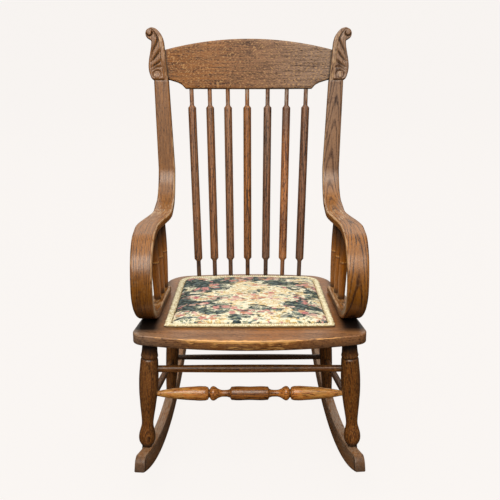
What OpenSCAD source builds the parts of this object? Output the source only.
// Oak rocking chair with bent arms, a spindle back and an upholstered seat panel.
// X runs across the chair, Y runs from its front to its back, Z runs up.
// The origin is on the floor, midway between the rockers' front and back ends.

/* [Seat] */
// Width of the seat across its front corners, before they are rounded
seat_front_w = 562; // [540:1:590]
// Width of the seat across its back corners, before they are rounded
seat_back_w = 431; // [420:1:450]
// Depth of the seat along its middle
seat_d = 470; // [460:1:485]
// Thickness of the seat board
seat_t = 22; // [20:0.5:28]
// Height of the seat's top at the middle of its front edge
seat_h = 407; // [395:1:420]
// Fall of the seat towards the back, in degrees
seat_slope = 2.2; // [1:0.1:4]
// How far the front edge bows out
seat_front_bow = 41; // [25:1:50]
// How far the back edge bows out
seat_back_bow = 24; // [12:1:30]
// Radius of the front corners
seat_front_r = 30; // [15:1:40]
// Radius of the back corners
seat_back_r = 66; // [40:1:70]
// Distance of the seat's front edge behind the rockers' front ends
seat_setback = 62; // [50:1:75]

/* [Seat panel] */
// Width of the panel along its front edge
panel_front_w = 410; // [395:1:415]
// Width of the panel across its back corners, before they are rounded
panel_back_w = 375; // [350:1:380]
// Depth of the panel along its middle
panel_d = 362; // [340:1:364]
// Distance of the panel behind the seat's front edge
panel_setback = 80; // [70:1:84]
// How far the panel's front edge bows out
panel_front_bow = 3; // [1:1:8]
// How far the panel's back edge bows out
panel_back_bow = 12; // [5:1:16]
// Radius of the panel's front corners
panel_front_r = 9; // [6:1:20]
// Radius of the panel's back corners
panel_back_r = 44; // [25:1:55]
// Thickness of the panel's base board
base_t = 6; // [5:0.5:8]
// Depth of the recess that holds the base board
recess_depth = 3; // [2:0.5:4]
// Height of the pad's side above the base board
pad_side = 4.5; // [3:0.5:8]
// Rise of the pad's crown above its side
pad_crown = 10; // [5:1:16]
// Width of the braid round the panel
gimp_w = 15; // [12:0.5:18]
// Thickness of the braid
gimp_t = 3; // [2:0.5:4]
// Spacing of the tacks under the braid
tack_pitch = 50; // [35:1:80]
// Diameter of a tack's head
tack_head_d = 6; // [4:0.5:7]
// Thickness of a tack's head
tack_head_t = 0.8; // [0.6:0.1:1.2]
// Diameter of a tack's pin
tack_d = 1.6; // [1.2:0.1:2.2]
// Length of a tack's pin
tack_len = 4.5; // [3:0.5:4.5]

/* [Bent arms] */
// Thickness of the bent band that forms rail, scroll, arm and post
band_t = 19; // [16:0.5:22]
// Radius of the band's rounded edges
band_edge_r = 4.5; // [2:0.5:6]
// Height of the arm's top above the seat
arm_rise = 214; // [200:1:230]
// Distance of the scroll's centre behind the seat's front edge
scroll_setback = 161; // [150:1:172]
// Distance of the rail's back end behind the seat's front edge
rail_end_setback = 322; // [318:1:345]
// Skew of the rail's back end, in degrees
rail_end_skew = 25; // [0:1:35]
// Radius of the bend between arm and post, at mid-thickness
elbow_r = 100; // [80:1:120]
// Distance of the rail's middle from the chair's middle, at its back end
rail_end_x = 221; // [218:0.5:224]
// Width of the rail at its back end
rail_end_w = 30; // [26:0.5:34]
// Distance of the rail's middle from the chair's middle, under the scroll
rail_x = 241; // [236:0.5:243]
// Width of the rail under the scroll
rail_w = 43; // [38:0.5:46]
// Distance of the scroll's middle from the chair's middle, at its front
scroll_x = 251.5; // [247:0.5:256]
// Width of the scroll at its front
scroll_w = 54; // [48:0.5:58]
// Distance of the arm's middle from the chair's middle, at the scroll's top
arm_x = 253; // [248:0.5:257]
// Width of the arm at the scroll's top
arm_w = 55.5; // [50:0.5:60]
// Length of the arm's wide part behind the scroll
arm_wide_len = 48; // [30:1:60]
// Length over which the arm sweeps in to its narrow part
arm_sweep_len = 142; // [110:1:160]
// Distance of the arm's narrow part from the chair's middle
elbow_x = 223.5; // [220:0.5:228]
// Width of the arm's narrow part
elbow_w = 48.5; // [44:0.5:52]
// Distance of the post's foot from the chair's middle
post_low_x = 225; // [222:0.5:229]
// Width of the post's foot
post_low_w = 45; // [40:0.5:49]
// Distance of the post's top from the chair's middle
post_top_x = 238; // [236:0.5:241]
// Width of the post's top
post_top_w = 40; // [37:0.5:43]

/* [Post heads] */
// Height of the carved head above its lower lip
head_h = 142; // [136:1:150]
// Width of the carved head from its inner edge to the volute
head_w = 60; // [56:1:64]
// Thickness of the carved head
head_t = 26; // [23:0.5:32]
// Distance of the head's lower lip above the crest rail's lower edge
head_rise = 18; // [10:1:24]
// Distance of the head's inner edge from the chair's middle, at its lip
head_x = 219.5; // [218:0.5:221]

/* [Back] */
// Rake of the back from upright, in degrees
back_rake = 15; // [12:0.5:18]
// Distance of the middle back spindle ahead of the seat's back edge
back_inset = 14; // [13:0.5:16]
// Length of the back from the seat to the crest rail's lower edge
back_len = 518; // [500:1:530]
// How far the posts' middle plane stands ahead of the middle spindle's foot
post_lead = 5; // [3:0.5:8]
// Height of the crest rail at its middle
crest_h = 131; // [125:1:140]
// Fall of the crest rail's top edge at its ends
crest_fall = 29; // [20:1:35]
// Half length of the crest rail's straight lower edge
crest_flat = 172; // [168:1:178]
// Length of the slanted cut beside the straight lower edge
crest_cut_len = 14; // [8:1:16]
// Height of the slanted cut
crest_cut_h = 16; // [12:1:18]
// Height of the lower edge at the crest rail's ends
crest_end_rise = 27; // [24:1:30]
// Thickness of the crest rail
crest_t = 20; // [18:0.5:22]
// How far the crest rail's middle bows back
crest_bow = 12; // [8:1:20]
// Height of the tenon on each end of the crest rail
crest_tenon_h = 46; // [30:1:50]
// Thickness of the tenon on each end of the crest rail
crest_tenon_t = 9; // [8:0.5:10]
// Length of the tenon on each end of the crest rail
crest_tenon_len = 14; // [10:0.5:18]
// Diameter of the pin that locks a crest tenon
crest_pin_d = 6; // [5:0.5:8]

/* [Back spindles] */
// Spacing of the spindles along the seat
spindle_foot_pitch = 46; // [43:0.5:48]
// Spacing of the spindles along the crest rail
spindle_top_pitch = 52.3; // [48:0.1:53.5]
// Width of a spindle's eight-sided shaft across its flats
shaft_w = 21.5; // [18:0.5:24]
// Diameter of a spindle's round necks
neck_d = 11.5; // [10:0.5:13]
// Length of the lower neck
neck_low_len = 44; // [35:1:55]
// Length of the upper neck
neck_high_len = 48; // [35:1:60]
// Length of a spindle's shoulder
shoulder_len = 7; // [4:1:10]
// Depth of a spindle's socket in the seat
seat_socket_depth = 14; // [10:0.5:15]
// Depth of a spindle's socket in the crest rail
crest_socket_depth = 18; // [12:1:20]

/* [Arm spindles] */
// Distance of the front arm spindle behind the seat's front edge
arm_spindle_setback = 227; // [222:1:232]
// Spacing of the arm spindles
arm_spindle_pitch = 44.5; // [36:0.5:45]
// Diameter of an arm spindle at its middle ring
arm_spindle_d = 22.5; // [19:0.5:24]
// Diameter of an arm spindle's foot
arm_spindle_foot_d = 17.5; // [15:0.5:19]
// Diameter of an arm spindle's top
arm_spindle_top_d = 16; // [13:0.5:18]
// Diameter of an arm spindle's tenons
arm_tenon_d = 12; // [9:0.5:13]
// Depth of an arm spindle's sockets
arm_socket_depth = 10; // [7:0.5:12]

/* [Front legs] */
// Distance of a front leg's top inside the seat's front corner
front_leg_inset = 43; // [40:1:52]
// Distance of a front leg's top behind the seat's front edge
front_leg_setback = 68; // [60:1:80]
// How far a front leg's foot stands outside its top
front_leg_splay = 17; // [8:1:20]
// How far a front leg's foot stands ahead of its top
front_leg_lead = 12; // [0:1:20]
// Diameter of a front leg at its fullest
front_leg_d = 46; // [40:1:48]
// Diameter of a leg's tenon in the seat
leg_tenon_d = 20; // [16:0.5:22]
// Depth of a leg's socket in the seat
leg_socket_depth = 15; // [10:0.5:16]

/* [Rear legs] */
// Distance of a rear leg's top inside the seat's back corner
rear_leg_inset = 13.5; // [10:0.5:18]
// Distance of a rear leg's top ahead of the seat's back edge
rear_leg_setback = 86; // [76:1:96]
// How far a rear leg's foot stands outside its top
rear_leg_splay = 21.5; // [14:0.5:26]
// How far a rear leg's foot stands behind its top
rear_leg_trail = 24; // [10:1:35]
// Diameter of a rear leg at its fullest
rear_leg_d = 35; // [32:1:38]

/* [Rockers] */
// Length of the rockers, from front end to back end
rocker_len = 796; // [780:1:820]
// Radius of the rockers' soles
rocker_r = 786; // [760:1:840]
// Distance from the middle of the rockers forward to the point they rest on
rest_lead = 24; // [16:0.5:30]
// Height of the rockers at the point they rest on
rocker_h = 50; // [46:1:54]
// Height of the rockers at their ends
rocker_tip_h = 38; // [32:1:44]
// Thickness of the rockers
rocker_t = 24; // [22:0.5:28]
// How far the rockers' front ends stand inside the line through the legs' feet
rocker_tuck = 4; // [0:0.5:5]
// Diameter of a leg's tenon in a rocker
foot_tenon_d = 12; // [10:0.5:14]
// Depth of a leg's socket in a rocker
foot_socket_depth = 22; // [16:1:26]

/* [Stretchers] */
// Height of the turned front stretcher
stretcher_h = 238; // [225:1:260]
// Diameter of the turned front stretcher at its fullest
stretcher_d = 35; // [30:0.5:38]
// Height of the plain front rung
front_rung_h = 304; // [295:1:315]
// Diameter of the plain front rung
front_rung_d = 17; // [14:0.5:19]
// Height of a side rung at the front leg
side_rung_front_h = 205; // [195:1:215]
// Height of a side rung at the rear leg
side_rung_back_h = 158; // [145:1:175]
// Diameter of a side rung
side_rung_d = 17; // [14:0.5:18]
// Height of the rear rung
rear_rung_h = 166; // [145:1:180]
// Diameter of the rear rung
rear_rung_d = 14.5; // [12:0.5:17]
// Distance from a front leg's axis at which its rungs end
front_rung_stop = 9; // [8:0.5:11]
// Distance from a rear leg's axis at which its rungs end
rear_rung_stop = 9.5; // [9:0.5:11]

/* [Screws] */
// Diameter of an arm screw's shank
arm_screw_d = 5; // [4:0.5:6]
// Diameter of an arm screw's head
arm_screw_head_d = 9; // [8:0.5:10]
// Length of an arm screw in the seat
arm_screw_hold = 13; // [10:0.5:15]
// Distance of an arm screw ahead of the front arm spindle
arm_screw_lead = 28; // [20:1:32]
// Diameter of a panel screw's shank
panel_screw_d = 4; // [3:0.5:5]
// Diameter of a panel screw's head
panel_screw_head_d = 8; // [7:0.5:10]
// Thickness of a screw's head
screw_head_t = 3; // [2.5:0.5:3.5]
// Length of a panel screw in the base board
panel_screw_hold = 4; // [3:0.5:4.5]
// Distance of the panel screws from the chair's middle
panel_screw_x = 140; // [110:1:160]
// Distance of the panel screws inside the panel's front and back edges
panel_screw_inset = 62; // [50:1:75]

/* [Fits] */
// Gap left between faces that meet
joint_gap = 0.2; // [0.1:0.05:0.25]
// Gap left all round a tenon, pin or screw in its hole
socket_gap = 0.15; // [0.1:0.05:0.2]
// Gap left beyond the end of a tenon, pin or screw
end_gap = 0.8; // [0.5:0.1:0.9]

/* [Hidden] */
$fn = 48;
// Length by which every cut runs past the face it opens
overrun = rocker_t;
// Side of a block that is larger than the whole chair
room = 3 * rocker_len;
// Sides of an arc too wide for the usual number
wide_fn = 720;
oak = "peru";
dark_oak = "sienna";

// Ways in which a curve runs from one row of a table to the next
STRAIGHT = 0;
ESS = 1;
LAND = 2;
LEAVE = 3;
function ease(t, way) = way == ESS ? t * t * (3 - 2 * t)
  : way == LAND ? sin(90 * t)
  : way == LEAVE ? 1 - cos(90 * t)
  : t;

// Rows of a table start with a distance and end with the way that leads to them
function row_after(rows, d, i = 1) =
  i >= len(rows) - 1 || d <= rows[i][0] ? i : row_after(rows, d, i + 1);
function table_at(rows, d, column) =
  let (i = row_after(rows, d), a = rows[i - 1], b = rows[i],
       t = max(0, min(1, (d - a[0]) / (b[0] - a[0]))))
  a[column] + (b[column] - a[column]) * ease(t, b[len(b) - 1]);

// Fall of an arc of radius r at distance x from its middle
function arc_drop(x, r) = r - sqrt(r * r - x * x);
// Radius of the arc that bows out by bow over half a chord
function bow_radius(half, bow) = (half * half + bow * bow) / (2 * bow);
// Point p turned back about the X axis by angle a
function lean(p, a) = [p[0], p[1] * cos(a) + p[2] * sin(a), p[2] * cos(a) - p[1] * sin(a)];
function mid(p, q, share) = p + (q - p) * share;
function unit(v) = v / norm(v);
function flipped(p) = [-p[0], p[1]];

// Corner b of a, b, c rounded to radius r, as points on its arc
corner_steps = 8;
function fillet(a, b, c, r) =
  let (u = unit(a - b), v = unit(c - b), half = acos(max(-1, min(1, u * v))) / 2,
       middle = b + unit(u + v) * r / sin(half), p = b + u * r / tan(half) - middle,
       q = b + v * r / tan(half) - middle, turn = acos((p * q) / (r * r)))
  [for (k = [0:corner_steps]) let (t = k / corner_steps)
    middle + (p * sin((1 - t) * turn) + q * sin(t * turn)) / sin(turn)];

// Outline of a board with four bowed or straight edges, lying in X and Y with its
// front edge's middle at the origin. It is drawn in by inset all round.
edge_steps = 12;
function board_side_x(f, b, y) = f[0] + (b[0] - f[0]) * (y - f[1]) / (b[1] - f[1]);
function board_corner(f, b, y0, dir, r, inset, x, n) =
  let (y = y0 + dir * (inset + arc_drop(x, r - inset)),
       side = board_side_x(f, b, y) - inset / cos(atan2(f[0] - b[0], b[1] - f[1])))
  n == 0 ? [x, y] : board_corner(f, b, y0, dir, r, inset, side, n - 1);
function board_outline(front_w, back_w, d, front_bow, back_bow, front_r, back_r, inset) =
  let (f = [front_w / 2, front_bow], b = [back_w / 2, d - back_bow],
       rf = bow_radius(f[0], front_bow), rb = bow_radius(b[0], back_bow),
       fc = board_corner(f, b, 0, 1, rf, inset, f[0], 4),
       bc = board_corner(f, b, d, -1, rb, inset, b[0], 4),
       front = [for (k = [1:edge_steps - 1]) let (x = fc[0] * (2 * k / edge_steps - 1))
         [x, inset + arc_drop(x, rf - inset)]],
       back = [for (k = [1:edge_steps / 2 - 1]) let (x = bc[0] * (1 - 4 * k / edge_steps))
         [x, d - inset - arc_drop(x, rb - inset)]])
  concat(fillet(flipped(bc), flipped(fc), front[0], front_r - inset / 2), front,
    fillet(front[len(front) - 1], fc, bc, front_r - inset / 2),
    fillet(fc, bc, back[0], back_r - inset), back,
    fillet(back[len(back) - 1], flipped(bc), flipped(fc), back_r - inset));

// Point at distance d along a closed outline
function along(points, d, i = 0) =
  let (a = points[i % len(points)], b = points[(i + 1) % len(points)], step = norm(b - a))
  d <= step ? mid(a, b, d / step) : along(points, d - step, i + 1);
function girth(points) =
  [for (i = [0:len(points) - 1]) norm(points[(i + 1) % len(points)] - points[i])]
  * [for (i = [0:len(points) - 1]) 1];

// Solid skin over a stack of rings that have the same number of points
module loft(rings) {
  n = len(rings[0]);
  m = len(rings);
  polyhedron(
    points = [for (ring = rings) each ring],
    faces = concat(
      [[for (i = [0:n - 1]) i]],
      [for (k = [0:m - 2], i = [0:n - 1]) let (a = k * n + i, b = k * n + (i + 1) % n)
        each [[b, a, b + n], [b + n, a, a + n]]],
      [[for (i = [n - 1:-1:0]) (m - 1) * n + i]]));
}

// Children that stand along Z, laid from p towards q
module aim(p, q) {
  v = q - p;
  translate(p) rotate([0, acos(v[2] / norm(v)), atan2(v[1], v[0])]) children();
}
module rod(p, q, d) aim(p, q) cylinder(d = d, h = norm(q - p));

// Turned piece from p to q. Its table gives distance, radius and way.
turn_steps = 4;
function turned_points(rows) = [for (i = [1:len(rows) - 1])
  let (a = rows[i - 1], b = rows[i], n = b[2] == STRAIGHT ? 1 : turn_steps)
  each [for (k = [i == 1 ? 0 : 1:n]) let (d = a[0] + (b[0] - a[0]) * k / n)
    [k == n ? b[1] : table_at([a, b], d, 1), d]]];
module turned(p, q, rows) aim(p, q) rotate_extrude()
  polygon(concat([[0, rows[0][0]]], turned_points(rows), [[0, rows[len(rows) - 1][0]]]));

// The seat's own frame: its front edge's middle on top is the origin
seat_y = seat_setback - rocker_len / 2;
function on_seat_at(p) = [0, seat_y, seat_h] + lean(p, seat_slope);
module on_seat() translate([0, seat_y, seat_h]) rotate([-seat_slope, 0, 0]) children();
function seat_edge(inset) = board_outline(seat_front_w, seat_back_w, seat_d, seat_front_bow,
  seat_back_bow, seat_front_r, seat_back_r, inset);
module above_seat_bottom() on_seat()
  translate([-room / 2, -room / 2, -seat_t - joint_gap]) cube(room);

// Rockers, seen from the side. The sole is a run of short flats round an arc, one
// of them flat on the floor, and angles are counted from that one.
sole_step = 2;
rest_y = -rest_lead;
front_angle = asin((rocker_len / 2 - rest_lead) / rocker_r);
back_angle = asin((rocker_len / 2 + rest_lead) / rocker_r);
sole_mid_z = rocker_r * cos(sole_step / 2);
taper_power = 4;
function rocker_depth(a) =
  rocker_h - (rocker_h - rocker_tip_h) * pow(a / (a < 0 ? front_angle : back_angle), taper_power);
function rocker_point(a, r) = [rest_y + r * sin(a), sole_mid_z - r * cos(a)];
function rocker_top_z(y) = let (a = asin((y - rest_y) / (rocker_r - rocker_h)))
  rocker_point(a, rocker_r - rocker_depth(a))[1];
sole_angles = concat([-front_angle],
  [for (k = [-ceil(front_angle / sole_step):ceil(back_angle / sole_step)])
    let (a = (k + 0.5) * sole_step)
    if (a > sole_step / 4 - front_angle && a < back_angle - sole_step / 4) a],
  [back_angle]);

// The back's own frame: it leans back from the middle spindle's foot
back_foot = on_seat_at([0, seat_d - back_inset, 0]);
function on_back_at(p) = back_foot + lean(p, back_rake);
module on_back() translate(back_foot) rotate([-back_rake, 0, 0]) children();

// Panel and braid, in the seat's frame
function panel_edge(inset) = [for (p = board_outline(panel_front_w, panel_back_w, panel_d,
  panel_front_bow, panel_back_bow, panel_front_r, panel_back_r, inset)) p + [0, panel_setback]];
base_top = base_t - recess_depth;
gimp_bottom = base_top + tack_head_t + joint_gap;
base_inset = 1;
tack_inset = gimp_w / 2;
pad_inset = gimp_w + joint_gap;
panel_screw_places = [for (x = [-panel_screw_x, panel_screw_x],
  y = [panel_setback + panel_screw_inset, panel_setback + panel_d - panel_screw_inset]) [x, y, 0]];

module seat() color(oak) difference() {
  on_seat() translate([0, 0, -seat_t]) linear_extrude(seat_t) polygon(seat_edge(0));
  on_seat() translate([0, 0, -recess_depth]) linear_extrude(recess_depth + overrun)
    polygon(panel_edge(base_inset - joint_gap));
  for (side = [-1, 1]) {
    leg_socket(front_leg_top(side), front_leg_foot(side));
    leg_socket(rear_leg_top(side), rear_leg_foot(side));
    arm_screw(side, socket_gap, end_gap);
  }
  for (place = spindle_place_shares)
    rod(mid_reach(spindle_foot(place), spindle_top(place), -seat_socket_depth),
      mid_reach(spindle_foot(place), spindle_top(place), overrun), neck_d + 2 * socket_gap);
  panel_screws_at(socket_gap, end_gap);
}

module panel_base() color("tan") difference() {
  on_seat() translate([0, 0, joint_gap - recess_depth])
    linear_extrude(base_t - joint_gap) polygon(panel_edge(base_inset));
  tacks_at(socket_gap, end_gap / 2);
  panel_screws_at(socket_gap, end_gap / 2);
}

// Pad with a low crown and drawn-in sides. Its skin rises over this much of a
// quarter turn and closes with a flat.
pad_rings = 7;
pad_turn = 84;
module seat_pad() color("darkseagreen") on_seat() {
  edge = panel_edge(pad_inset);
  heart = [0, panel_setback + panel_d / 2];
  loft(concat(
    [[for (p = edge) [p[0], p[1], base_top + joint_gap]]],
    [for (k = [0:pad_rings]) let (a = pad_turn * k / pad_rings)
      [for (p = edge) let (q = heart + (p - heart) * cos(a))
        [q[0], q[1], base_top + pad_side + pad_crown * pow(sin(a), 2)]]]));
}

module gimp_border() color("khaki") on_seat() translate([0, 0, gimp_bottom])
  linear_extrude(gimp_t) difference() {
    polygon(panel_edge(0));
    polygon(panel_edge(gimp_w));
  }

// Tacks, or with a gap the holes that they need
tack_line = panel_edge(tack_inset);
tack_count = floor(girth(tack_line) / tack_pitch);
module tacks_at(gap, deeper) on_seat() for (i = [0:tack_count - 1])
  translate(concat(along(tack_line, (i + 0.5) * girth(tack_line) / tack_count), base_top)) {
    translate([0, 0, -tack_len - deeper])
      cylinder(d = tack_d + 2 * gap, h = tack_len + deeper + tack_head_t / 2, $fn = 16);
    cylinder(d = tack_head_d, h = tack_head_t, $fn = 24);
  }
module cover_tacks() color("dimgray") tacks_at(0, 0);

module panel_screws_at(gap, deeper) on_seat() for (place = panel_screw_places)
  translate(place + [0, 0, -seat_t]) {
    translate([0, 0, -deeper]) cylinder(d = panel_screw_head_d + 2 * gap, h = screw_head_t + deeper);
    cylinder(d = panel_screw_d + 2 * gap, h = seat_t - recess_depth + panel_screw_hold + deeper);
  }
module panel_screws() color("dimgray") panel_screws_at(0, 0);

// The bent band, as a path in Y and Z of [length, turn] runs from the rail's back end:
// rail, scroll, arm, elbow, post
scroll_r = (arm_rise - band_t) / 2;
rail_lift = band_t / 2 + joint_gap;
rail_start = on_seat_at([0, rail_end_setback, rail_lift]);
scroll_start = on_seat_at([0, scroll_setback, rail_lift]);
scroll_turn = 180 - seat_slope;
scroll_mid = on_seat_at([0, scroll_setback, rail_lift + scroll_r]);
arm_axis_z = scroll_mid[2] + scroll_r;
elbow_turn = 90 - back_rake;
post_reach = (arm_axis_z - back_foot[2]) / cos(back_rake);
elbow_tangent = elbow_r * tan(elbow_turn / 2);
post_meet_y = back_foot[1] - post_lead / cos(back_rake) + post_reach * sin(back_rake);
// The post runs this far up inside its head
post_in_head = head_w / 5;
function arc_len(r, turn) = PI * r * turn / 180;
runs = [
  [rail_end_setback - scroll_setback, 0],
  [arc_len(scroll_r, scroll_turn), -scroll_turn],
  [post_meet_y - elbow_tangent - scroll_mid[1], 0],
  [arc_len(elbow_r, elbow_turn), elbow_turn],
  [back_len + head_rise + post_in_head - post_reach - elbow_tangent - post_lead * tan(back_rake), 0]];
band_len = runs[0][0] + runs[1][0] + runs[2][0] + runs[3][0] + runs[4][0];
// Place [y, z, heading] at distance d along the runs
function path_at(d, p, i = 0) =
  let (run = runs[i], go = min(d, run[0]), turn = run[1] * go / run[0],
       chord = turn == 0 ? go : go * sin(abs(turn) / 2) * 360 / (PI * abs(turn)),
       q = [p[0] + chord * cos(p[2] + turn / 2), p[1] + chord * sin(p[2] + turn / 2), p[2] + turn])
  d <= run[0] || i == len(runs) - 1 ? q : path_at(d - run[0], q, i + 1);
function band_path(d) = path_at(d, [rail_start[1], rail_start[2], 180 - seat_slope]);

scroll_from = runs[0][0];
scroll_to = scroll_from + runs[1][0];
elbow_from = scroll_to + runs[2][0];
elbow_to = elbow_from + runs[3][0];
// Distance along the band, distance of its middle from the chair's middle, width, way
band_rows = [
  [0, rail_end_x, rail_end_w, STRAIGHT],
  [scroll_from, rail_x, rail_w, STRAIGHT],
  [(scroll_from + scroll_to) / 2, scroll_x, scroll_w, LAND],
  [scroll_to, arm_x, arm_w, ESS],
  [scroll_to + arm_wide_len, arm_x, arm_w, STRAIGHT],
  [scroll_to + arm_wide_len + arm_sweep_len, elbow_x, elbow_w, ESS],
  [elbow_to, post_low_x, post_low_w, ESS],
  [band_len, post_top_x, post_top_w, STRAIGHT]];
function band_x(d) = table_at(band_rows, d, 1);
function band_w(d) = table_at(band_rows, d, 2);

// Distances along the band at a place behind the seat's front edge, on rail and on arm
function rail_at(setback) = rail_end_setback - setback;
function arm_at(setback) = scroll_to + on_seat_at([0, setback, 0])[1] - scroll_mid[1];

band_steps = 72;
edge_turns = [0, 45, 90];
function band_ring(d) =
  let (q = band_path(d), w = band_w(d) / 2 - band_edge_r, t = band_t / 2 - band_edge_r)
  [for (corner = [[1, 1, 0], [-1, 1, 90], [-1, -1, 180], [1, -1, 270]], a = edge_turns)
    let (x = corner[0] * w + band_edge_r * cos(corner[2] + a),
         n = corner[1] * t + band_edge_r * sin(corner[2] + a))
    [band_x(d) + x, q[0] + n * sin(q[2]), q[1] - n * cos(q[2])]];

// Head outline, as shares of the head's width and height, and the ways round it
head_outline_shares = [[0, 0], [0.045, 0.2], [0.145, 0.61], [0.2, 0.765], [0.35, 0.9],
  [0.53, 0.975], [0.74, 1], [0.93, 0.96], [1, 0.89], [0.96, 0.82], [0.86, 0.785],
  [0.755, 0.755], [0.745, 0.67], [0.79, 0.54], [0.85, 0.39], [0.87, 0.25], [0.82, 0.125],
  [0.72, 0.03], [0.635, 0]];
module head(gap) on_back() translate([head_x - gap, -post_lead, back_len + head_rise])
  rotate([90, 0, 0]) linear_extrude(head_t, center = true)
    polygon([for (share = head_outline_shares) [share[0] * head_w, share[1] * head_h]]);

// The crest rail's tenon starts behind its straight lower edge and ends inside the head
crest_tenon_z = back_len + head_rise + head_h / 3;
crest_half = head_x + crest_tenon_len;
module crest_tenon(gap, deeper) on_back() translate([crest_flat, -post_lead, crest_tenon_z])
  translate([0, -crest_tenon_t / 2 - gap, -crest_tenon_h / 2 - gap])
    cube([crest_half + deeper - crest_flat, crest_tenon_t + 2 * gap, crest_tenon_h + 2 * gap]);

// Pin that enters a head from behind and ends inside it, past the tenon
module crest_pin(gap, deeper) on_back()
  translate([head_x + crest_tenon_len / 2, -post_lead - crest_tenon_t - deeper, crest_tenon_z])
    rotate([-90, 0, 0]) cylinder(d = crest_pin_d + 2 * gap, h = crest_tenon_t + head_t / 2 + deeper);

module right_arm_post() color(oak) difference() {
  union() {
    loft([for (k = [0:band_steps]) band_ring(band_len * k / band_steps)]);
    head(0);
  }
  on_seat() translate([rail_end_x - rail_end_w / 2, rail_end_setback, -overrun])
    rotate([0, 0, -rail_end_skew]) translate([-room / 2, 0, 0])
      cube([room, 2 * overrun, band_t + 2 * overrun]);
  for (i = [0:2]) arm_spindle_sockets(i);
  arm_screw(1, socket_gap, end_gap);
  crest_tenon(socket_gap, end_gap);
  crest_pin(socket_gap, end_gap);
}
module left_arm_post() mirror([1, 0, 0]) right_arm_post();

// Screw through a rail into the seat, with its head sunk flush
arm_screw_setback = arm_spindle_setback - arm_screw_lead;
module arm_screw(side, gap, deeper) on_seat()
  translate([side * band_x(rail_at(arm_screw_setback)), arm_screw_setback, 0]) {
    translate([0, 0, -arm_screw_hold - deeper])
      cylinder(d = arm_screw_d + 2 * gap, h = arm_screw_hold + deeper + band_t);
    translate([0, 0, band_t + joint_gap - screw_head_t])
      cylinder(d = arm_screw_head_d + 2 * gap, h = screw_head_t + (deeper > 0 ? overrun : 0));
  }
module arm_screws() color("dimgray") for (side = [-1, 1]) arm_screw(side, 0, 0);

// Crest rail, bowed back in plan. It fits in a block of the room's depth.
crest_room = 4 * (crest_t + crest_bow);
crest_curve_r = bow_radius(head_x, crest_bow);
crest_mid_y = crest_bow - post_lead;
crest_top_r = bow_radius(head_x, crest_fall);
crest_top_steps = 24;
function crest_y(x) = crest_mid_y - arc_drop(x, crest_curve_r);
// The slanted cut and the curve behind it, as shares of the cut's length and height
crest_cut_shares = [[2.6, 1.6], [1.7, 1.35], [1, 1], [0, 0]];
crest_lower_edge = concat([[crest_half, crest_end_rise]],
  [for (share = crest_cut_shares) [crest_flat + share[0] * crest_cut_len, share[1] * crest_cut_h]]);
crest_outline = concat(
  [for (k = [0:crest_top_steps]) let (x = crest_half * (2 * k / crest_top_steps - 1))
    [x, crest_h - arc_drop(x, crest_top_r)]],
  crest_lower_edge,
  [for (k = [len(crest_lower_edge) - 1:-1:0]) flipped(crest_lower_edge[k])]);
module crest_rail() color(oak) difference() {
  union() {
    difference() {
      intersection() {
        on_back() translate([0, 0, back_len]) rotate([90, 0, 0])
          linear_extrude(crest_room, center = true) polygon(crest_outline);
        on_back() translate([0, crest_mid_y - crest_curve_r, back_len - overrun]) difference() {
          cylinder(r = crest_curve_r + crest_t / 2, h = crest_h + 2 * overrun, $fn = wide_fn);
          translate([0, 0, -overrun])
            cylinder(r = crest_curve_r - crest_t / 2, h = crest_h + 4 * overrun, $fn = wide_fn);
        }
      }
      head(joint_gap);
      mirror([1, 0, 0]) head(joint_gap);
    }
    crest_tenon(0, 0);
    mirror([1, 0, 0]) crest_tenon(0, 0);
  }
  crest_pin(socket_gap, end_gap);
  mirror([1, 0, 0]) crest_pin(socket_gap, end_gap);
  for (place = spindle_place_shares)
    rod(mid_reach(spindle_top(place), spindle_foot(place), -crest_socket_depth),
      mid_reach(spindle_top(place), spindle_foot(place), overrun), neck_d + 2 * socket_gap);
}
module crest_pins() color(dark_oak) {
  crest_pin(0, 0);
  mirror([1, 0, 0]) crest_pin(0, 0);
}

// Back spindles from left to right. Their places are shares of the spacing and are
// a little uneven, as hand-bored holes are.
spindle_place_shares = [-3, -2.05, -1.1, -0.08, 1, 2, 3];
seat_back_curve_r = bow_radius(seat_back_w / 2, seat_back_bow);
function spindle_foot(place) = let (x = place * spindle_foot_pitch)
  on_seat_at([x, seat_d - back_inset - arc_drop(x, seat_back_curve_r), 0]);
function spindle_top(place) = let (x = place * spindle_top_pitch)
  on_back_at([x, crest_y(x), back_len]);
shaft_sides = 8;
// Point at a distance from p towards q
function mid_reach(p, q, reach) = p + unit(q - p) * reach;
module back_spindle(i) color(oak) {
  p = spindle_foot(spindle_place_shares[i]);
  q = spindle_top(spindle_place_shares[i]);
  from = mid_reach(p, q, end_gap - seat_socket_depth);
  to = mid_reach(q, p, end_gap - crest_socket_depth);
  rod(from, to, neck_d);
  low = neck_low_len;
  high = norm(q - p) - neck_high_len;
  round_r = neck_d / 2 / cos(180 / shaft_sides);
  flat_r = shaft_w / 2 / cos(180 / shaft_sides);
  aim(p, q) rotate([0, 0, atan2(q[1] - p[1], p[0] - q[0]) + 90 + 180 / shaft_sides])
    rotate_extrude($fn = shaft_sides)
    polygon([[0, low], [round_r, low], [flat_r, low + shoulder_len],
      [flat_r, high - shoulder_len], [round_r, high], [0, high]]);
}
module back_spindle_1() back_spindle(0);
module back_spindle_2() back_spindle(1);
module back_spindle_3() back_spindle(2);
module back_spindle_4() back_spindle(3);
module back_spindle_5() back_spindle(4);
module back_spindle_6() back_spindle(5);
module back_spindle_7() back_spindle(6);

// Arm spindles of the right side, counted from 0 at the front. A spindle's top
// stands this share of the way from the rail's middle to the arm's middle.
spindle_lean_share = 0.25;
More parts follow.
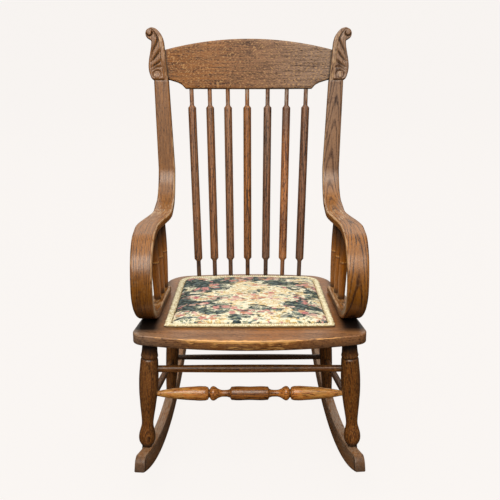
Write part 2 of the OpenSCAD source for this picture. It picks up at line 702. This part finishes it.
// Height of an arm spindle's scored ring, and its depth
ring_height_share = 0.56;
ring_depth_share = 0.05;
function arm_spindle_y(i) = arm_spindle_setback + i * arm_spindle_pitch;
function arm_spindle_foot(i) =
  on_seat_at([band_x(rail_at(arm_spindle_y(i))), arm_spindle_y(i), joint_gap + band_t]);
function arm_spindle_top(i) =
  let (foot = arm_spindle_foot(i), arm_middle = band_x(arm_at(arm_spindle_y(i))))
  [foot[0] + (arm_middle - foot[0]) * spindle_lean_share, foot[1], arm_axis_z - band_t / 2];
module arm_spindle_sockets(i) {
  p = arm_spindle_foot(i);
  q = arm_spindle_top(i);
  rod(mid_reach(p, q, -arm_socket_depth), mid_reach(p, q, overrun), arm_tenon_d + 2 * socket_gap);
  rod(mid_reach(q, p, -arm_socket_depth), mid_reach(q, p, overrun), arm_tenon_d + 2 * socket_gap);
}
module arm_spindle(i) color(oak) {
  p = arm_spindle_foot(i);
  q = arm_spindle_top(i);
  rise = norm(q - p);
  tenon = arm_socket_depth - end_gap;
  // The feet and tops lean, so they stop short of the faces they stand against
  lean_angle = acos((q[2] - p[2]) / rise);
  clear = joint_gap + arm_spindle_foot_d / 2 * tan(seat_slope + lean_angle);
  ring = rise * ring_height_share;
  groove = arm_spindle_d * ring_depth_share;
  turned(p, q, [
    [-tenon, arm_tenon_d / 2, STRAIGHT],
    [clear, arm_tenon_d / 2, STRAIGHT],
    [clear, arm_spindle_foot_d / 2, STRAIGHT],
    [ring - groove, arm_spindle_d / 2, LAND],
    [ring, arm_spindle_d / 2 - groove, STRAIGHT],
    [ring + groove, arm_spindle_d / 2, STRAIGHT],
    [rise - clear, arm_spindle_top_d / 2, LEAVE],
    [rise - clear, arm_tenon_d / 2, STRAIGHT],
    [rise + tenon, arm_tenon_d / 2, STRAIGHT]]);
}
module right_arm_spindle_1() arm_spindle(0);
module right_arm_spindle_2() arm_spindle(1);
module right_arm_spindle_3() arm_spindle(2);
module left_arm_spindle_1() mirror([1, 0, 0]) arm_spindle(0);
module left_arm_spindle_2() mirror([1, 0, 0]) arm_spindle(1);
module left_arm_spindle_3() mirror([1, 0, 0]) arm_spindle(2);

// Legs. A leg's top is on the seat's underside and its foot on the rocker's top.
function front_leg_top(side) =
  on_seat_at([side * (seat_front_w / 2 - front_leg_inset), front_leg_setback, -seat_t]);
function rear_leg_top(side) =
  on_seat_at([side * (seat_back_w / 2 - rear_leg_inset), seat_d - rear_leg_setback, -seat_t]);
function foot_below(top, out, back) = let (y = top[1] + back)
  [top[0] + out, y, rocker_top_z(y)];
function front_leg_foot(side) =
  foot_below(front_leg_top(side), side * front_leg_splay, -front_leg_lead);
function rear_leg_foot(side) =
  foot_below(rear_leg_top(side), side * rear_leg_splay, rear_leg_trail);
module leg_socket(top, foot) rod(mid_reach(top, foot, -leg_socket_depth),
  mid_reach(top, foot, overrun), leg_tenon_d + 2 * socket_gap);
module foot_socket(top, foot) rod(mid_reach(foot, top, -foot_socket_depth),
  mid_reach(foot, top, overrun), foot_tenon_d + 2 * socket_gap);
module leg(top, foot, rows) {
  difference() {
    turned(top, foot, rows);
    above_seat_bottom();
    rocker_block(joint_gap);
  }
  rod(mid_reach(top, foot, end_gap - leg_socket_depth), mid_reach(top, foot, leg_tenon_d),
    leg_tenon_d);
  rod(mid_reach(foot, top, end_gap - foot_socket_depth), mid_reach(foot, top, foot_tenon_d),
    foot_tenon_d);
}

// Shares of the leg's length and of its fullest radius, and the way to each row
front_leg_shares = [[-0.04, 0.75, STRAIGHT], [0.1, 0.76, STRAIGHT], [0.152, 0.81, ESS],
  [0.178, 0.765, ESS], [0.198, 0.885, ESS], [0.36, 1, ESS], [0.755, 0.605, ESS],
  [0.888, 0.85, ESS], [0.98, 0.5, LEAVE], [1.03, 0.49, STRAIGHT]];
rear_leg_shares = [[-0.04, 0.86, STRAIGHT], [0.3, 1, LAND], [0.6, 1, STRAIGHT],
  [1.06, 0.72, LEAVE]];
function sized(shares, length, r) =
  [for (row = shares) [row[0] * length, row[1] * r, row[2]]];

module right_front_leg() color(dark_oak) {
  top = front_leg_top(1);
  foot = front_leg_foot(1);
  difference() {
    leg(top, foot, sized(front_leg_shares, norm(foot - top), front_leg_d / 2));
    mirror([1, 0, 0]) rung_sockets(stretcher_ends, front_rung_stop, stretcher_end_d);
    mirror([1, 0, 0])
      rung_sockets(front_rung_ends, front_rung_stop, rung_end_share * front_rung_d);
    rung_sockets(side_rung_ends, front_rung_stop, rung_end_share * side_rung_d);
  }
}
module left_front_leg() mirror([1, 0, 0]) right_front_leg();
module right_rear_leg() color(dark_oak) {
  top = rear_leg_top(1);
  foot = rear_leg_foot(1);
  difference() {
    leg(top, foot, sized(rear_leg_shares, norm(foot - top), rear_leg_d / 2));
    mirror([1, 0, 0]) rung_sockets(rear_rung_ends, rear_rung_stop, rung_end_share * rear_rung_d);
    rung_sockets([side_rung_ends[1], side_rung_ends[0]], rear_rung_stop,
      rung_end_share * side_rung_d);
  }
}
module left_rear_leg() mirror([1, 0, 0]) right_rear_leg();

// Rungs and stretchers run from leg axis to leg axis and stop short of it
function leg_axis(top, foot, z) = mid(top, foot, (top[2] - z) / (top[2] - foot[2]));
stretcher_ends = [leg_axis(front_leg_top(-1), front_leg_foot(-1), stretcher_h),
  leg_axis(front_leg_top(1), front_leg_foot(1), stretcher_h)];
front_rung_ends = [leg_axis(front_leg_top(-1), front_leg_foot(-1), front_rung_h),
  leg_axis(front_leg_top(1), front_leg_foot(1), front_rung_h)];
rear_rung_ends = [leg_axis(rear_leg_top(-1), rear_leg_foot(-1), rear_rung_h),
  leg_axis(rear_leg_top(1), rear_leg_foot(1), rear_rung_h)];
side_rung_ends = [leg_axis(front_leg_top(1), front_leg_foot(1), side_rung_front_h),
  leg_axis(rear_leg_top(1), rear_leg_foot(1), side_rung_back_h)];
module rung_sockets(ends, stop, d)
  rod(mid_reach(ends[0], ends[1], stop - end_gap),
    mid_reach(ends[0], ends[1], front_leg_d / 2 + overrun), d + 2 * socket_gap);

// A plain rung is a little slimmer at its ends
rung_end_share = 0.86;
module plain_rung(ends, d, stops) {
  length = norm(ends[1] - ends[0]);
  turned(ends[0], ends[1], [
    [stops[0], rung_end_share * d / 2, STRAIGHT],
    [front_leg_d, rung_end_share * d / 2, STRAIGHT],
    [length / 2, d / 2, LAND],
    [length - front_leg_d, rung_end_share * d / 2, LEAVE],
    [length - stops[1], rung_end_share * d / 2, STRAIGHT]]);
}
module front_rung() color(dark_oak)
  plain_rung(front_rung_ends, front_rung_d, [front_rung_stop, front_rung_stop]);
module rear_rung() color(dark_oak)
  plain_rung(rear_rung_ends, rear_rung_d, [rear_rung_stop, rear_rung_stop]);
module right_side_rung() color(dark_oak)
  plain_rung(side_rung_ends, side_rung_d, [front_rung_stop, rear_rung_stop]);
module left_side_rung() mirror([1, 0, 0]) right_side_rung();

stretcher_end_share = 0.38;
// Half of the turned stretcher, from its middle out: shares of its half length
// between leg axes, shares of its fullest radius, and the way to each row
stretcher_shares = [[0, 0.915, STRAIGHT], [0.187, 0.915, STRAIGHT], [0.197, 0.86, STRAIGHT],
  [0.256, 0.5, LAND], [0.382, 1, ESS], [0.43, 0.6, ESS], [0.49, 0.97, ESS],
  [0.9, stretcher_end_share, LEAVE]];
stretcher_end_d = stretcher_end_share * stretcher_d;
module front_stretcher() color(oak) {
  half = norm(stretcher_ends[1] - stretcher_ends[0]) / 2;
  middle = mid(stretcher_ends[0], stretcher_ends[1], 0.5);
  rows = concat(sized(stretcher_shares, half, stretcher_d / 2),
    [[half - front_rung_stop, stretcher_end_d / 2, STRAIGHT]]);
  turned(middle, stretcher_ends[1], rows);
  turned(middle, stretcher_ends[0], rows);
}

// Rockers in place. Each stands under the feet of its two legs, turned a little
// about its rear foot so that its front end is tucked in.
top_steps = 24;
top_angles = [for (k = [0:top_steps])
  back_angle - (front_angle + back_angle) * k / top_steps];
foot_line = front_leg_foot(1) - rear_leg_foot(1);
tuck_turn = atan2(rocker_tuck, rear_leg_foot(1)[1] + rocker_len / 2);
rocker_toe = atan2(foot_line[0], -foot_line[1]) - tuck_turn;
rocker_x = rear_leg_foot(1)[0] + tan(rocker_toe) * rear_leg_foot(1)[1];
module rocker_side(lift) polygon(concat(
  [for (a = sole_angles) rocker_point(a, rocker_r)],
  [for (a = top_angles) rocker_point(a, rocker_r - rocker_depth(a) - lift)]));
module in_rocker() translate([rocker_x, 0, 0]) rotate([0, 0, rocker_toe]) rotate([90, 0, 90])
  children();
// Block that a leg's foot stops against
module rocker_block(lift) in_rocker()
  linear_extrude(2 * front_leg_d, center = true) rocker_side(lift);
module right_rocker() color(dark_oak) difference() {
  in_rocker() linear_extrude(rocker_t, center = true) rocker_side(0);
  foot_socket(front_leg_top(1), front_leg_foot(1));
  foot_socket(rear_leg_top(1), rear_leg_foot(1));
}
module left_rocker() mirror([1, 0, 0]) right_rocker();

seat();
panel_base();
seat_pad();
gimp_border();
cover_tacks();
panel_screws();
left_arm_post();
right_arm_post();
arm_screws();
crest_rail();
crest_pins();
back_spindle_1();
back_spindle_2();
back_spindle_3();
back_spindle_4();
back_spindle_5();
back_spindle_6();
back_spindle_7();
left_arm_spindle_1();
left_arm_spindle_2();
left_arm_spindle_3();
right_arm_spindle_1();
right_arm_spindle_2();
right_arm_spindle_3();
left_front_leg();
right_front_leg();
left_rear_leg();
right_rear_leg();
left_rocker();
right_rocker();
front_stretcher();
front_rung();
left_side_rung();
right_side_rung();
rear_rung();
